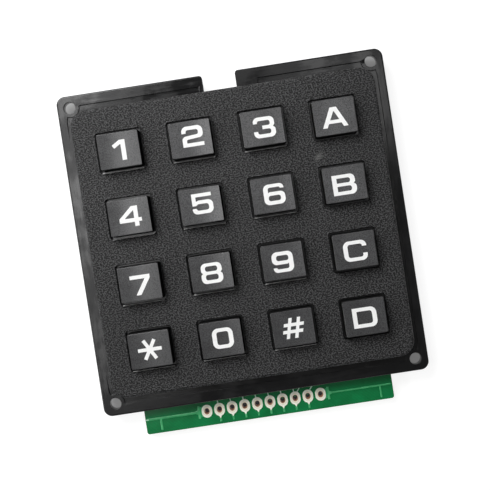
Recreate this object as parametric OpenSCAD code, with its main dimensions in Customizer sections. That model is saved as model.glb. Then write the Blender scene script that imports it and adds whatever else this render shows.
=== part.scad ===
// Sixteen-key matrix keypad: a moulded housing with travelling keycaps over a
// rubber dome mat, riveted to a circuit board whose edge carries a row of solder pads.
// Millimetres. +Z points out of the key faces, +Y towards the top row of keys.
// The origin is the centre of the four mounting holes, on the back of the flange.

/* [Key grid] */
// Distance between key columns
pitch_x = 14; // [13.5:0.1:17]
// Distance between key rows
pitch_y = 13; // [12:0.1:16]

/* [Keycaps] */
// Width of a keycap at its top
key_top_w = 8; // [6.5:0.1:9]
// Length of a keycap at its top
key_top_l = 6.9; // [6:0.1:8]
// How much each keycap side spreads from its top down to its retainer
key_taper = 0.17; // [0:0.01:0.3]
// Radius of a keycap's upright corners
key_corner_r = 0.6; // [0.2:0.05:1]
// Height of a keycap above the raised panel
key_rise = 2.5; // [1.8:0.1:4]
// How deep the hollow in a keycap's top is
key_dish = 0.12; // [0.05:0.01:0.3]
// Thickness of a keycap's top
key_top_t = 1.3; // [0.9:0.1:1.6]
// Thickness of a keycap's side walls
key_wall = 1.1; // [0.7:0.05:1.4]
// How far the retainer stands out past the panel opening
retainer_w = 0.7; // [0.4:0.05:1]
// Thickness of the retainer
retainer_t = 0.8; // [0.5:0.05:1.2]
// Diameter of the plunger under a keycap
plunger_d = 3.2; // [2.4:0.1:3.8]
// Thickness of the ribs that hold the plunger
rib_t = 0.8; // [0.5:0.05:1.2]
// How far a key travels
key_travel = 1.2; // [0.8:0.05:1.6]

/* [Housing] */
// Gap between a keycap and its panel opening
key_gap = 0.3; // [0.2:0.02:0.45]
// Inner corner radius of a panel opening
opening_r = 0.5; // [0.2:0.05:0.8]
// Width of the raised lip round a panel opening
lip_w = 0.3; // [0.2:0.05:0.8]
// Height of the raised lip round a panel opening
lip_h = 0.2; // [0.1:0.02:0.4]
// Panel width left outside the outer key openings
panel_border_x = 4.53; // [4:0.01:7]
// Panel length left outside the outer key openings
panel_border_y = 4.98; // [4:0.01:7]
// Corner radius of the raised panel
panel_r = 3.2; // [2.5:0.1:4]
// Radius of the raised panel's rounded top edge
panel_edge_r = 0.5; // [0.2:0.05:0.8]
// Thickness of the raised panel
panel_t = 1.6; // [1.2:0.1:2.2]
// Thickness of the wall round the raised panel
panel_wall = 1.6; // [1.2:0.1:1.8]
// Width of the flange at the sides
flange_side = 2.4; // [2:0.1:4]
// Width of the flange at the top and bottom
flange_end = 3.45; // [3:0.05:5]
// Thickness of the flange
flange_t = 2.6; // [2:0.1:3.2]
// Outer corner radius of the flange
flange_r = 1.7; // [1:0.1:2.4]
// Radius of the flange's rounded top edge
flange_edge_r = 0.3; // [0.1:0.05:0.6]
// Width of the shallow channel beside the panel wall at the sides
channel_side = 0.8; // [0.4:0.05:1.2]
// Width of the shallow channel beside the panel wall at the top and bottom
channel_end = 1.3; // [0.6:0.05:1.8]
// Depth of the shallow channel
channel_depth = 0.4; // [0.2:0.05:0.8]
// Width of the notch in the flange's top edge
notch_w = 6.5; // [4:0.1:10]
// Radius of the flange's corners beside the notch
notch_r = 0.7; // [0.3:0.05:1.2]
// Flange left between the channel and the notch on the left
notch_land_left = 0.9; // [0.5:0.1:3]
// Flange left between the channel and the notch on the right
notch_land_right = 4.2; // [0.5:0.1:8]

/* [Mounting holes] */
// Diameter of a mounting hole
hole_d = 2.3; // [2:0.1:3]
// Distance of a mounting hole from the flange's side edge
hole_inset_x = 2.5; // [2:0.05:3]
// Distance of a mounting hole from the flange's top or bottom edge
hole_inset_y = 2.35; // [2:0.05:3]
// Diameter of the full-height boss round a mounting hole
boss_d = 3.8; // [3.4:0.1:5]

/* [Rubber mat] */
// Thickness of the mat between the domes
mat_t = 0.8; // [0.5:0.05:1]
// Gap between the mat's edge and the housing wall
mat_gap = 0.5; // [0.2:0.05:1]
// Thickness of a dome's solid middle
dome_plug_t = 0.75; // [0.5:0.05:1.2]
// Rubber left round the pill in a dome's middle
dome_plug_rim = 0.7; // [0.4:0.05:1]
// Thickness of a dome's sloping skirt
dome_skirt_t = 0.6; // [0.4:0.05:0.9]
// Diameter of a conductive pill
pill_d = 3.4; // [2.6:0.1:4]
// Thickness of a conductive pill
pill_t = 0.5; // [0.3:0.05:0.8]

/* [Circuit board] */
// Thickness of the board
board_t = 1.6; // [1:0.1:2]
// Width of board that seats on the housing all round its hollow
board_seat = 0.8; // [0.6:0.05:1]
// Room between a mounting hole's centre and the board's cut corner
screw_room = 3.5; // [3:0.1:3.6]
// Distance of the board's tab from the flange's side edges
tab_inset = 7.55; // [6:0.05:12]
// How far the tab sticks out past the flange's bottom edge
tab_reach = 5.05; // [4.6:0.05:9]
// Radius of the tab's corners
tab_r = 0.5; // [0.2:0.05:1]
// Diameter of a pair of carbon contacts
contact_d = 5.6; // [4.6:0.1:6]
// Gap between the two halves of a contact
contact_gap = 0.5; // [0.3:0.05:0.8]
// Thickness of the carbon
contact_t = 0.1; // [0.05:0.01:0.2]

/* [Solder pads] */
// Number of pads in the row
pad_count = 10; // [4:1:12]
// Distance between pads
pad_pitch = 2.54; // [2.54:0.01:3]
// Sideways shift of the row from the board's middle
pad_shift = -1; // [-3:0.1:3]
// Distance of the row from the board's bottom edge
pad_edge = 2.9; // [2.2:0.05:3]
// Width of a pad
pad_w = 2.1; // [1.8:0.05:2.3]
// Length of a pad without its tail
pad_l = 2.6; // [2.3:0.05:3.2]
// Length of a pad's pointed tail
pad_tail = 0.45; // [0.2:0.05:0.6]
// Thickness of the tinned copper on the board
pad_t = 0.1; // [0.05:0.01:0.2]
// Diameter of the plated hole in a pad
pad_hole_d = 1.15; // [1:0.05:1.3]
// Wall of the plated hole
plating_t = 0.06; // [0.04:0.01:0.1]

/* [Rivets] */
// Diameter of the posts that hold the board
post_d = 2; // [1.4:0.1:2.4]
// Distance of the outer posts from the housing wall
post_inset = 1.8; // [1.6:0.05:2.2]
// Diameter of the formed rivet heads at the board
head_d = 3.4; // [2.8:0.1:4]
// Diameter of the flat on a formed rivet head
head_flat_d = 2.4; // [1.6:0.1:2.6]
// Height of the formed rivet heads
head_h = 0.8; // [0.5:0.05:1.2]

/* [Clearances] */
// Gap between a pressed pill and its contact
pill_gap = 0.05; // [0.02:0.01:0.1]
// Gap between a post and the hole for it in the board
post_board_gap = 0.1; // [0.05:0.01:0.2]
// Gap between a post and the hole for it in the mat
post_mat_gap = 0.4; // [0.2:0.05:0.8]
// Gap between a contact and the dome over it
contact_room = 0.5; // [0.3:0.05:0.8]
// Gap between a plated hole's outside and the board
plating_gap = 0.02; // [0.01:0.01:0.04]

/* [Hidden] */
// Legends as they stand, top row first
key_grid = [
    ["1", "2", "3", "a"],
    ["4", "5", "6", "b"],
    ["7", "8", "9", "c"],
    ["star", "0", "hash", "d"]
];
rows = len(key_grid);
columns = len(key_grid[0]);
cells = [for (r = [0 : rows - 1], c = [0 : columns - 1]) [c, r]];
function cell_name(cell) = key_grid[cell.y][cell.x];
function cell_place(cell) = [
    (cell.x - (columns - 1) / 2) * pitch_x,
    ((rows - 1) / 2 - cell.y) * pitch_y
];

// Outlines
opening_w = key_top_w + 2 * (key_taper + key_gap);
opening_l = key_top_l + 2 * (key_taper + key_gap);
panel_w = (columns - 1) * pitch_x + opening_w + 2 * panel_border_x;
panel_l = (rows - 1) * pitch_y + opening_l + 2 * panel_border_y;
flange_w = panel_w + 2 * flange_side;
flange_l = panel_l + 2 * flange_end;
hollow_w = panel_w - 2 * panel_wall;
hollow_l = panel_l - 2 * panel_wall;
hollow_r = panel_r - panel_wall;
hole_x = flange_w / 2 - hole_inset_x;
hole_y = flange_l / 2 - hole_inset_y;
board_w = hollow_w + 2 * board_seat;
board_l = hollow_l + 2 * board_seat;
board_cut = (board_w + board_l) / 2 - (hole_x + hole_y - screw_room * sqrt(2));
tab_w = flange_w - 2 * tab_inset;
tab_y = -flange_l / 2 - tab_reach;
pad_y = tab_y + pad_edge;

// Heights, from the board's face up
pill_z = contact_t + key_travel + pill_gap;
plug_z = pill_z + pill_t;
key_z = plug_z + dome_plug_t;
panel_under = key_z + retainer_t;
panel_top = panel_under + panel_t;
key_top = panel_top + key_rise;

// A dome's radii
dome_hole_r = contact_d / 2 + contact_room;
dome_foot_r = dome_hole_r + dome_skirt_t;
plug_r = pill_d / 2 + dome_plug_rim;

// Posts stand where four keys meet and in the middle of each side
posts = concat(
    [for (r = [1 : rows - 1], c = [1 : columns - 1])
        [(c - columns / 2) * pitch_x, (r - rows / 2) * pitch_y]],
    [for (s = [-1, 1]) [s * (hollow_w / 2 - post_inset), 0]],
    [for (s = [-1, 1]) [0, s * (hollow_l / 2 - post_inset)]]
);
pads = [for (i = [0 : pad_count - 1])
    [pad_shift + (i - (pad_count - 1) / 2) * pad_pitch, pad_y]];

// Overlap that keeps joined solids and cuts clean
eps = 0.1;
$fn = 48;

// A rectangle with round corners, centred
module rounded(w, l, r) {
    square([w - 2 * r, l], center = true);
    square([w, l - 2 * r], center = true);
    for (x = [-1, 1], y = [-1, 1])
        translate([x * (w / 2 - r), y * (l / 2 - r)]) circle(r);
}

// A plate with round corners and a rounded top edge, centred
module soft_plate(w, l, h, r, edge_r) {
    rotate([90, 0, 0]) linear_extrude(l - 2 * r, center = true) soft_section(w, h, edge_r);
    rotate([90, 0, 90]) linear_extrude(w - 2 * r, center = true) soft_section(l, h, edge_r);
    for (x = [-1, 1], y = [-1, 1]) translate([x * (w / 2 - r), y * (l / 2 - r)])
        rotate_extrude() intersection() {
            soft_section(2 * r, h, edge_r);
            square([r, h]);
        }
}

module soft_section(w, h, edge_r) {
    translate([-w / 2, 0]) square([w, h - edge_r]);
    translate([-w / 2 + edge_r, 0]) square([w - 2 * edge_r, h]);
    for (s = [-1, 1]) translate([s * (w / 2 - edge_r), h - edge_r]) circle(edge_r);
}

// What a round corner of that radius takes off, with the corner towards that side of its centre
module corner_waste(r, side) {
    difference() {
        translate(side * r) square(2 * r, center = true);
        circle(r);
    }
}

// Its children at each key, or at each mounting hole
module at_keys() {
    for (cell = cells) translate(cell_place(cell)) children();
}

module at_mounting_holes() {
    for (x = [-1, 1], y = [-1, 1]) translate([x * hole_x, y * hole_y]) children();
}

// The four-sided wedge of material between two drafted pairs of sides
module drafted_block(w, l, h, spread) {
    intersection() {
        rotate([90, 0, 0]) linear_extrude(l + 2 * spread + 2 * eps, center = true)
            drafted_side(w, h, spread);
        rotate([90, 0, 90]) linear_extrude(w + 2 * spread + 2 * eps, center = true)
            drafted_side(l, h, spread);
    }
}

module drafted_side(w, h, spread) {
    polygon([
        [-w / 2 - spread, 0], [w / 2 + spread, 0],
        [w / 2, h], [-w / 2, h]
    ]);
}

module channel_outline() {
    difference() {
        rounded(panel_w + 2 * channel_side, panel_l + 2 * channel_end, panel_r);
        at_mounting_holes() circle(d = boss_d);
        translate([-notch_w / 2 - notch_land_left, 0])
            square([notch_w + notch_land_left + notch_land_right, flange_l]);
    }
}

module flange() {
    difference() {
        soft_plate(flange_w, flange_l, flange_t, flange_r, flange_edge_r);
        translate([0, 0, flange_t - channel_depth])
            linear_extrude(channel_depth + eps) channel_outline();
        translate([0, (panel_l + flange_end) / 2 + eps, flange_t / 2])
            cube([notch_w, flange_end + 2 * eps, flange_t + 2 * eps], center = true);
        for (s = [-1, 1]) translate([s * (notch_w / 2 + notch_r), flange_l / 2 - notch_r, -eps])
            linear_extrude(flange_t + 2 * eps) corner_waste(notch_r, [-s, 1]);
        at_mounting_holes() translate([0, 0, -eps])
            cylinder(h = flange_t + 2 * eps, d = hole_d);
    }
}

module opening_lips() {
    translate([0, 0, panel_top - eps]) linear_extrude(lip_h + eps)
        at_keys() rounded(opening_w + 2 * lip_w, opening_l + 2 * lip_w, opening_r + lip_w);
}

// A post moulded under the panel, with the head that is formed over the board's back
module rivet() {
    translate([0, 0, -board_t - eps])
        cylinder(h = board_t + panel_under + 2 * eps, d = post_d);
    translate([0, 0, -board_t - head_h])
        cylinder(h = head_h, d1 = head_flat_d, d2 = head_d);
}

module housing() {
    color("#2c2c2e") union() {
        difference() {
            union() {
                flange();
                soft_plate(panel_w, panel_l, panel_top, panel_r, panel_edge_r);
                opening_lips();
            }
            translate([0, 0, -eps]) linear_extrude(panel_under + eps)
                rounded(hollow_w, hollow_l, hollow_r);
            linear_extrude(panel_top + lip_h + eps)
                at_keys() rounded(opening_w, opening_l, opening_r);
        }
        for (p = posts) translate(p) rivet();
    }
}

// Outside of a keycap: drafted sides, round upright corners and a hollowed top
module keycap_outside() {
    rise = key_top - panel_under;
    dish_r = (pow(key_top_w / 2, 2) + pow(key_dish, 2)) / (2 * key_dish);
    difference() {
        intersection() {
            translate([0, 0, panel_under]) drafted_block(key_top_w, key_top_l, rise, key_taper);
            translate([0, 0, panel_under - eps]) linear_extrude(rise + 2 * eps)
                rounded(key_top_w + 2 * key_taper, key_top_l + 2 * key_taper, key_corner_r);
        }
        translate([0, 0, key_top - key_dish + dish_r]) rotate([90, 0, 0])
            cylinder(h = key_top_l + 2 * key_taper + 2 * eps, r = dish_r, center = true, $fn = 96);
    }
}

module keycap() {
    inner_w = key_top_w - 2 * key_wall;
    inner_l = key_top_l - 2 * key_wall;
    inner_h = key_top - key_top_t - key_z;
    color("#3b3b3d") union() {
        difference() {
            union() {
                keycap_outside();
                translate([0, 0, key_z]) linear_extrude(retainer_t)
                    rounded(opening_w + 2 * retainer_w, opening_l + 2 * retainer_w, opening_r);
            }
            translate([0, 0, key_z + (inner_h - eps) / 2])
                cube([inner_w, inner_l, inner_h + eps], center = true);
        }
        translate([0, 0, key_z]) cylinder(h = inner_h + eps, d = plunger_d);
        translate([0, 0, panel_under + (inner_h - retainer_t + eps) / 2]) {
            cube([inner_w + eps, rib_t, inner_h - retainer_t + eps], center = true);
            cube([rib_t, inner_l + eps, inner_h - retainer_t + eps], center = true);
        }
    }
}

module pill() {
    color("#1a1a1a") translate([0, 0, pill_z]) cylinder(h = pill_t, d = pill_d);
}

// One dome with its solid middle, cut through its axis
module dome_section() {
    polygon([
        [0, plug_z], [plug_r - dome_skirt_t / 2, plug_z],
        [dome_hole_r, mat_t / 2], [dome_hole_r, 0],
        [dome_foot_r + dome_skirt_t, 0], [dome_foot_r + dome_skirt_t, mat_t],
        [dome_foot_r, mat_t], [plug_r, plug_z + dome_skirt_t / 2],
        [plug_r, key_z], [0, key_z]
    ]);
}

module rubber_mat() {
    color("#6d7076") union() {
        linear_extrude(mat_t) difference() {
            rounded(hollow_w - 2 * mat_gap, hollow_l - 2 * mat_gap, hollow_r);
            at_keys() circle(dome_foot_r);
            for (p = posts) translate(p) circle(post_d / 2 + post_mat_gap);
        }
        at_keys() rotate_extrude() dome_section();
    }
}

module board_outline() {
    w = board_w / 2;
    l = board_l / 2;
    difference() {
        polygon([
            [-w + board_cut, l], [w - board_cut, l], [w, l - board_cut],
            [w, -l + board_cut], [w - board_cut, -l], [tab_w / 2, -l],
            [tab_w / 2, tab_y], [-tab_w / 2, tab_y], [-tab_w / 2, -l],
            [-w + board_cut, -l], [-w, -l + board_cut], [-w, l - board_cut]
        ]);
        for (s = [-1, 1]) translate([s * (tab_w / 2 - tab_r), tab_y + tab_r])
            corner_waste(tab_r, [s, -1]);
    }
}

module circuit_board() {
    color("#12803f") difference() {
        translate([0, 0, -board_t]) linear_extrude(board_t) board_outline();
        for (p = posts) translate([p.x, p.y, -board_t - eps])
            cylinder(h = board_t + 2 * eps, r = post_d / 2 + post_board_gap);
        for (p = pads) translate([p.x, p.y, -board_t - eps])
            cylinder(h = board_t + 2 * eps, r = pad_hole_d / 2 + plating_t + plating_gap);
    }
}

// Two carbon half discs under each key
module carbon_contacts() {
    color("#202022") linear_extrude(contact_t) at_keys() difference() {
        circle(d = contact_d);
        square([contact_gap, contact_d + 2 * eps], center = true);
    }
}

module pad_outline(tailed) {
    straight = pad_l - pad_w;
    square([pad_w, straight], center = true);
    for (s = [-1, 1]) translate([0, s * straight / 2]) circle(d = pad_w);
    if (tailed)
        polygon([[-pad_w / 4, -pad_l / 3], [pad_w / 4, -pad_l / 3], [0, -pad_l / 2 - pad_tail]]);
}

// A plated hole with a tinned pad on each face of the board
module solder_pad(tailed) {
    difference() {
        union() {
            linear_extrude(pad_t) pad_outline(tailed);
            translate([0, 0, -board_t - pad_t]) linear_extrude(pad_t) pad_outline(tailed);
            translate([0, 0, -board_t - pad_t])
                cylinder(h = board_t + 2 * pad_t, r = pad_hole_d / 2 + plating_t);
        }
        translate([0, 0, -board_t - pad_t - eps])
            cylinder(h = board_t + 2 * (pad_t + eps), d = pad_hole_d);
    }
}

// The first and the last pad have no tail
module solder_pads() {
    color("#d8cdbd") for (i = [0 : pad_count - 1])
        translate(pads[i]) solder_pad(i > 0 && i < pad_count - 1);
}

housing();
rubber_mat();
circuit_board();
carbon_contacts();
solder_pads();
for (cell = cells) {
    translate(cell_place(cell)) keycap();
    translate(cell_place(cell)) pill();
}
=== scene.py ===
import math

import bpy
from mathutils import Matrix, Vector


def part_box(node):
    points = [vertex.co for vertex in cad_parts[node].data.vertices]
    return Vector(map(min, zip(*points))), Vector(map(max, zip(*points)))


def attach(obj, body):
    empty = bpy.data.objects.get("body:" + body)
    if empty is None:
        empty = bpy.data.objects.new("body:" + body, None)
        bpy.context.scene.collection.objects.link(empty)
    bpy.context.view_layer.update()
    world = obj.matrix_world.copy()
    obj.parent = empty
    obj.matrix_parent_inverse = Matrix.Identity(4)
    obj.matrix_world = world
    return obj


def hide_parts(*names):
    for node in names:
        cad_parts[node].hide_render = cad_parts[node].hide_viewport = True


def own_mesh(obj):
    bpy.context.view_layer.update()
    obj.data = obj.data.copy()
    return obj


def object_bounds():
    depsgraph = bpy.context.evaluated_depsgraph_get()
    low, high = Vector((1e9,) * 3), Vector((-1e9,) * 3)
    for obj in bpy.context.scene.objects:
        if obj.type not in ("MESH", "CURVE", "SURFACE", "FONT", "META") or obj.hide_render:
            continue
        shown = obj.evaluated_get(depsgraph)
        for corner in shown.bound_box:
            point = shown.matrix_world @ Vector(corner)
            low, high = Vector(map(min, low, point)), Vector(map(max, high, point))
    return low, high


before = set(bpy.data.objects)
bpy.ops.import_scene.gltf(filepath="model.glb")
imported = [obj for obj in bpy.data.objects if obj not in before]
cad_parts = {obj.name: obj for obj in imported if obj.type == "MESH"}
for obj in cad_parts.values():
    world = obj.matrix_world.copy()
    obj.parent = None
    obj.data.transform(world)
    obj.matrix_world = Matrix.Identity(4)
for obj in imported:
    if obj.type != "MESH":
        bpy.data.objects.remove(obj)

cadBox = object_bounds()
mm = 0.001
keyNames = ["1", "2", "3", "a", "4", "5", "6", "b", "7", "8", "9", "c", "star", "0", "hash", "d"]
housingLow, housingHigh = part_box("housing")
boardLow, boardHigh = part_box("circuit_board")
padsLow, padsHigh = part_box("solder_pads")
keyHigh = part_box("key_1")[1]
print("frame loaded:", len(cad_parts), "nodes")


def middleOf(nodeName):
    low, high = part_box(nodeName)
    return (low + high) / 2


keyCentres = {name: middleOf("key_" + name) for name in keyNames}


# Selecting and shaping

def pickOnly(obj):
    bpy.ops.object.select_all(action="DESELECT")
    obj.select_set(True)
    bpy.context.view_layer.objects.active = obj


def editAll(obj):
    pickOnly(obj)
    bpy.ops.object.mode_set(mode="EDIT")
    bpy.ops.mesh.select_all(action="SELECT")


def leaveEdit():
    bpy.ops.object.mode_set(mode="OBJECT")


def applyModifier(obj, kind, **settings):
    pickOnly(obj)
    modifier = obj.modifiers.new(kind.lower(), kind)
    for name, value in settings.items():
        setattr(modifier, name, value)
    bpy.ops.object.modifier_apply(modifier=modifier.name)


meshCare = {
    "weld": 0.002 * mm,
    "flatAngle": math.radians(0.3),
    "sharpAngle": math.radians(32),
    "faceWeight": 100,
    "likeArea": 1.0 * mm * mm,
    "levelNormal": 0.5,
}


def copyOfNode(nodeName, pieceName):
    piece = bpy.data.objects.new(pieceName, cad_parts[nodeName].data.copy())
    bpy.context.scene.collection.objects.link(piece)
    piece.data.materials.clear()
    editAll(piece)
    bpy.ops.mesh.customdata_custom_splitnormals_clear()
    bpy.ops.mesh.remove_doubles(threshold=meshCare["weld"])
    bpy.ops.mesh.dissolve_limited(angle_limit=meshCare["flatAngle"])
    leaveEdit()
    return piece


def roundSharpEdges(obj, width, chosen, segments=2):
    editAll(obj)
    bpy.ops.mesh.select_mode(type="EDGE")
    bpy.ops.mesh.select_all(action="DESELECT")
    bpy.ops.mesh.edges_select_sharp(sharpness=meshCare["sharpAngle"])
    leaveEdit()
    points = obj.data.vertices
    for edge in obj.data.edges:
        middle = (points[edge.vertices[0]].co + points[edge.vertices[1]].co) / 2
        edge.select = edge.select and chosen(middle)
    bpy.ops.object.mode_set(mode="EDIT")
    bpy.ops.mesh.bevel(offset=width, segments=segments, affect="EDGES", clamp_overlap=False)
    leaveEdit()


def smoothFaces(obj):
    pickOnly(obj)
    bpy.ops.object.shade_smooth_by_angle(angle=meshCare["sharpAngle"])
    applyModifier(obj, "WEIGHTED_NORMAL", keep_sharp=True, weight=meshCare["faceWeight"],
                  thresh=meshCare["likeArea"])


def paintFaces(obj, materials, choose):
    for material in materials:
        obj.data.materials.append(material)
    for face in obj.data.polygons:
        face.material_index = choose(face.center, face.normal)


def settle(piece, body, slot, *nodes):
    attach(piece, body)
    if nodes:
        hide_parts(*nodes)


# Node trees

def addNode(tree, kind, inputs=None, **settings):
    node = tree.nodes.new(kind)
    for name, value in settings.items():
        setattr(node, name, value)
    for name, value in (inputs or {}).items():
        if isinstance(value, bpy.types.NodeSocket):
            tree.links.new(value, node.inputs[name])
        else:
            node.inputs[name].default_value = value
    return node


def maths(tree, operation, first, second=0.0, clamp=False):
    return addNode(tree, "ShaderNodeMath", {0: first, 1: second}, operation=operation,
                   use_clamp=clamp).outputs[0]


def spread(tree, value, low, high, toLow=0.0, toHigh=1.0):
    return addNode(tree, "ShaderNodeMapRange",
                   {"Value": value, "From Min": low, "From Max": high, "To Min": toLow, "To Max": toHigh},
                   interpolation_type="SMOOTHSTEP").outputs[0]


def blendColours(tree, factor, first, second):
    return addNode(tree, "ShaderNodeMix", {0: factor, 6: first, 7: second}, data_type="RGBA").outputs[2]


def noise(tree, place, size, detail=3.0, roughness=0.5):
    return addNode(tree, "ShaderNodeTexNoise",
                   {"Vector": place, "Scale": 1 / size, "Detail": detail, "Roughness": roughness})


def stretched(tree, place, scale, degrees=0):
    return addNode(tree, "ShaderNodeMapping",
                   {"Vector": place, "Rotation": (0, 0, math.radians(degrees)), "Scale": scale}).outputs[0]


def bump(tree, height, strength, distance):
    return addNode(tree, "ShaderNodeBump",
                   {"Height": height, "Strength": strength, "Distance": distance}).outputs[0]


def tone(red, green, blue):
    linear = [((c / 255 + 0.055) / 1.055) ** 2.4 if c > 10 else c / 255 / 12.92 for c in (red, green, blue)]
    return (*linear, 1.0)


def newMaterial(name, **plain):
    material = bpy.data.materials.new(name)
    material.use_nodes = True
    tree = material.node_tree
    shader = tree.nodes["Principled BSDF"]
    for label, value in plain.items():
        shader.inputs[label].default_value = value
    place = addNode(tree, "ShaderNodeTexCoord").outputs["Object"]
    return material, tree, shader, place


def newGroup(name, inputs, outputs):
    group = bpy.data.node_groups.new(name, "ShaderNodeTree")
    for label, kind in inputs.items():
        group.interface.new_socket(label, in_out="INPUT", socket_type=kind)
    for label in outputs:
        group.interface.new_socket(label, in_out="OUTPUT", socket_type="NodeSocketFloat")
    return group, addNode(group, "NodeGroupInput").outputs, addNode(group, "NodeGroupOutput").inputs


def useGroup(tree, group, **inputs):
    return addNode(tree, "ShaderNodeGroup", inputs, node_tree=group).outputs


# Shared surface effects

def makeMouldGrain():
    group, given, made = newGroup("mouldGrain", {"Place": "NodeSocketVector", "Size": "NodeSocketFloat"},
                                  ["Height", "HollowShade"])
    perSize = maths(group, "DIVIDE", 1.0, given["Size"])
    scaled = addNode(group, "ShaderNodeVectorMath", {0: given["Place"], "Scale": perSize},
                     operation="SCALE").outputs[0]
    turned = stretched(group, scaled, (0.8, 1.2, 1.0), -8)
    height = noise(group, turned, 1.0, detail=1.0, roughness=0.4).outputs[0]
    group.links.new(height, made["Height"])
    # painted shade: marks the low parts of the grain, which get painted dark
    group.links.new(spread(group, height, 0.6, 0.45), made["HollowShade"])
    return group


def makeUnevenFilm():
    group, given, made = newGroup("unevenFilm", {"Place": "NodeSocketVector", "Size": "NodeSocketFloat"},
                                  ["Patch"])
    perSize = maths(group, "DIVIDE", 1.0, given["Size"])
    cloud = addNode(group, "ShaderNodeTexNoise",
                    {"Vector": given["Place"], "Scale": perSize, "Detail": 5.0, "Roughness": 0.6}).outputs[0]
    group.links.new(spread(group, cloud, 0.32, 0.68), made["Patch"])
    return group


def makeScuff():
    sockets = {"Place": "NodeSocketVector", "Centre": "NodeSocketVector", "Reach": "NodeSocketFloat"}
    group, given, made = newGroup("scuff", sockets, ["Mark"])
    apart = addNode(group, "ShaderNodeVectorMath", {0: given["Place"], 1: given["Centre"]},
                    operation="DISTANCE").outputs["Value"]
    near = spread(group, maths(group, "DIVIDE", apart, given["Reach"]), 1.0, 0.1)
    streaked = stretched(group, given["Place"], (0.25, 1.0, 1.0), 50)
    streaks = noise(group, streaked, 0.3 * mm, detail=4.0).outputs[0]
    group.links.new(maths(group, "MULTIPLY", near, spread(group, streaks, 0.42, 0.7)), made["Mark"])
    return group


def filmedMaterial(name, size, tones, roughness, **plain):
    material, tree, shader, place = newMaterial(name, **plain)
    patch = useGroup(tree, unevenFilm, Place=place, Size=size)["Patch"]
    tree.links.new(blendColours(tree, patch, *tones), shader.inputs["Base Color"])
    tree.links.new(spread(tree, patch, 0.0, 1.0, *roughness), shader.inputs["Roughness"])
    return material


mouldGrain = makeMouldGrain()
unevenFilm = makeUnevenFilm()
scuff = makeScuff()
print("surface effects ready")


# Housing

housingLook = {
    "edge": 0.07 * mm,
    "lipHeight": 0.2 * mm,
    "lipEdge": 0.11 * mm,
    "edgeRound": 0.5 * mm,
    "glintTo": 14 * mm,
    "glintNormal": 0.2,
    "glintTurn": 3,
    "wallNormal": 0.2,
    "shadedNormal": 0.5,
    "topNormal": 0.99,
    "openingReach": 6.5 * mm,
    "hollowX": 28.5 * mm,
    "hollowY": 26.9 * mm,
    "panelThickness": 1.6 * mm,
    "wallX": 29.9 * mm,
    "channelFloor": 2.2 * mm,
    "flangeTop": 2.6 * mm,
    "leftRun": 23.8 * mm,
    "grainSize": 0.25 * mm,
    "grainDepth": 0.1 * mm,
    "panelScuffs": [((17.1 * mm, 12.3 * mm, 5.0 * mm), 1.5 * mm)],
    "flangeScuffs": [((20.5 * mm, -29.6 * mm, 2.6 * mm), 1.2 * mm)],
}
# painted highlight: pale tones that stand in for glints on lit edges
glintLook = {"size": 1.2 * mm, "roughness": (0.28, 0.36), "IOR": 1.5}
panelTop = housingHigh.z - housingLook["lipHeight"]


def addScuffs(tree, place, colour, scuffs, wearAndLight):
    for centre, reach in scuffs:
        mark = useGroup(tree, scuff, Place=place, Centre=centre, Reach=reach)["Mark"]
        colour = blendColours(tree, maths(tree, "MULTIPLY", mark, 0.7), colour, wearAndLight)
    return colour


def panelMaterial():
    material, tree, shader, place = newMaterial("grainedPlastic", IOR=1.36)
    grain = useGroup(tree, mouldGrain, Place=place, Size=housingLook["grainSize"])
    patch = useGroup(tree, unevenFilm, Place=place, Size=9 * mm)["Patch"]
    ridge = blendColours(tree, patch, tone(70, 70, 71), tone(76, 76, 77))
    # painted shade: besides their bump, the grain's hollows are painted near black
    colour = blendColours(tree, grain["HollowShade"], ridge, tone(4, 4, 4))
    colour = addScuffs(tree, place, colour, housingLook["panelScuffs"], tone(118, 118, 116))
    tree.links.new(colour, shader.inputs["Base Color"])
    tree.links.new(spread(tree, grain["Height"], 0.3, 0.8, 0.56, 0.4), shader.inputs["Roughness"])
    tree.links.new(bump(tree, grain["Height"], 1.0, housingLook["grainDepth"]), shader.inputs["Normal"])
    return material


def smoothHousingMaterial():
    material, tree, shader, place = newMaterial("smoothPlastic", IOR=1.5)
    across = stretched(tree, place, (0.12, 1.0, 1.0))
    along = stretched(tree, place, (1.0, 0.12, 1.0))
    sideways = maths(tree, "ABSOLUTE", addNode(tree, "ShaderNodeSeparateXYZ", {0: place}).outputs[0])
    atSides = maths(tree, "GREATER_THAN", sideways, housingLook["hollowX"])
    flow = blendColours(tree, atSides, noise(tree, across, 0.5 * mm, 4.0).outputs["Color"],
                        noise(tree, along, 0.5 * mm, 4.0).outputs["Color"])
    streak = addNode(tree, "ShaderNodeSeparateColor", {0: flow}).outputs[0]
    patch = useGroup(tree, unevenFilm, Place=place, Size=6 * mm)["Patch"]
    dull = maths(tree, "ADD", maths(tree, "MULTIPLY", streak, 0.6), maths(tree, "MULTIPLY", patch, 0.4))
    colour = blendColours(tree, dull, tone(9, 9, 10), tone(20, 20, 21))
    colour = addScuffs(tree, place, colour, housingLook["flangeScuffs"], tone(52, 52, 48))
    tree.links.new(colour, shader.inputs["Base Color"])
    tree.links.new(spread(tree, dull, 0.3, 0.7, 0.1, 0.22), shader.inputs["Roughness"])
    tree.links.new(bump(tree, streak, 0.14, 0.02 * mm), shader.inputs["Normal"])
    return material


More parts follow.
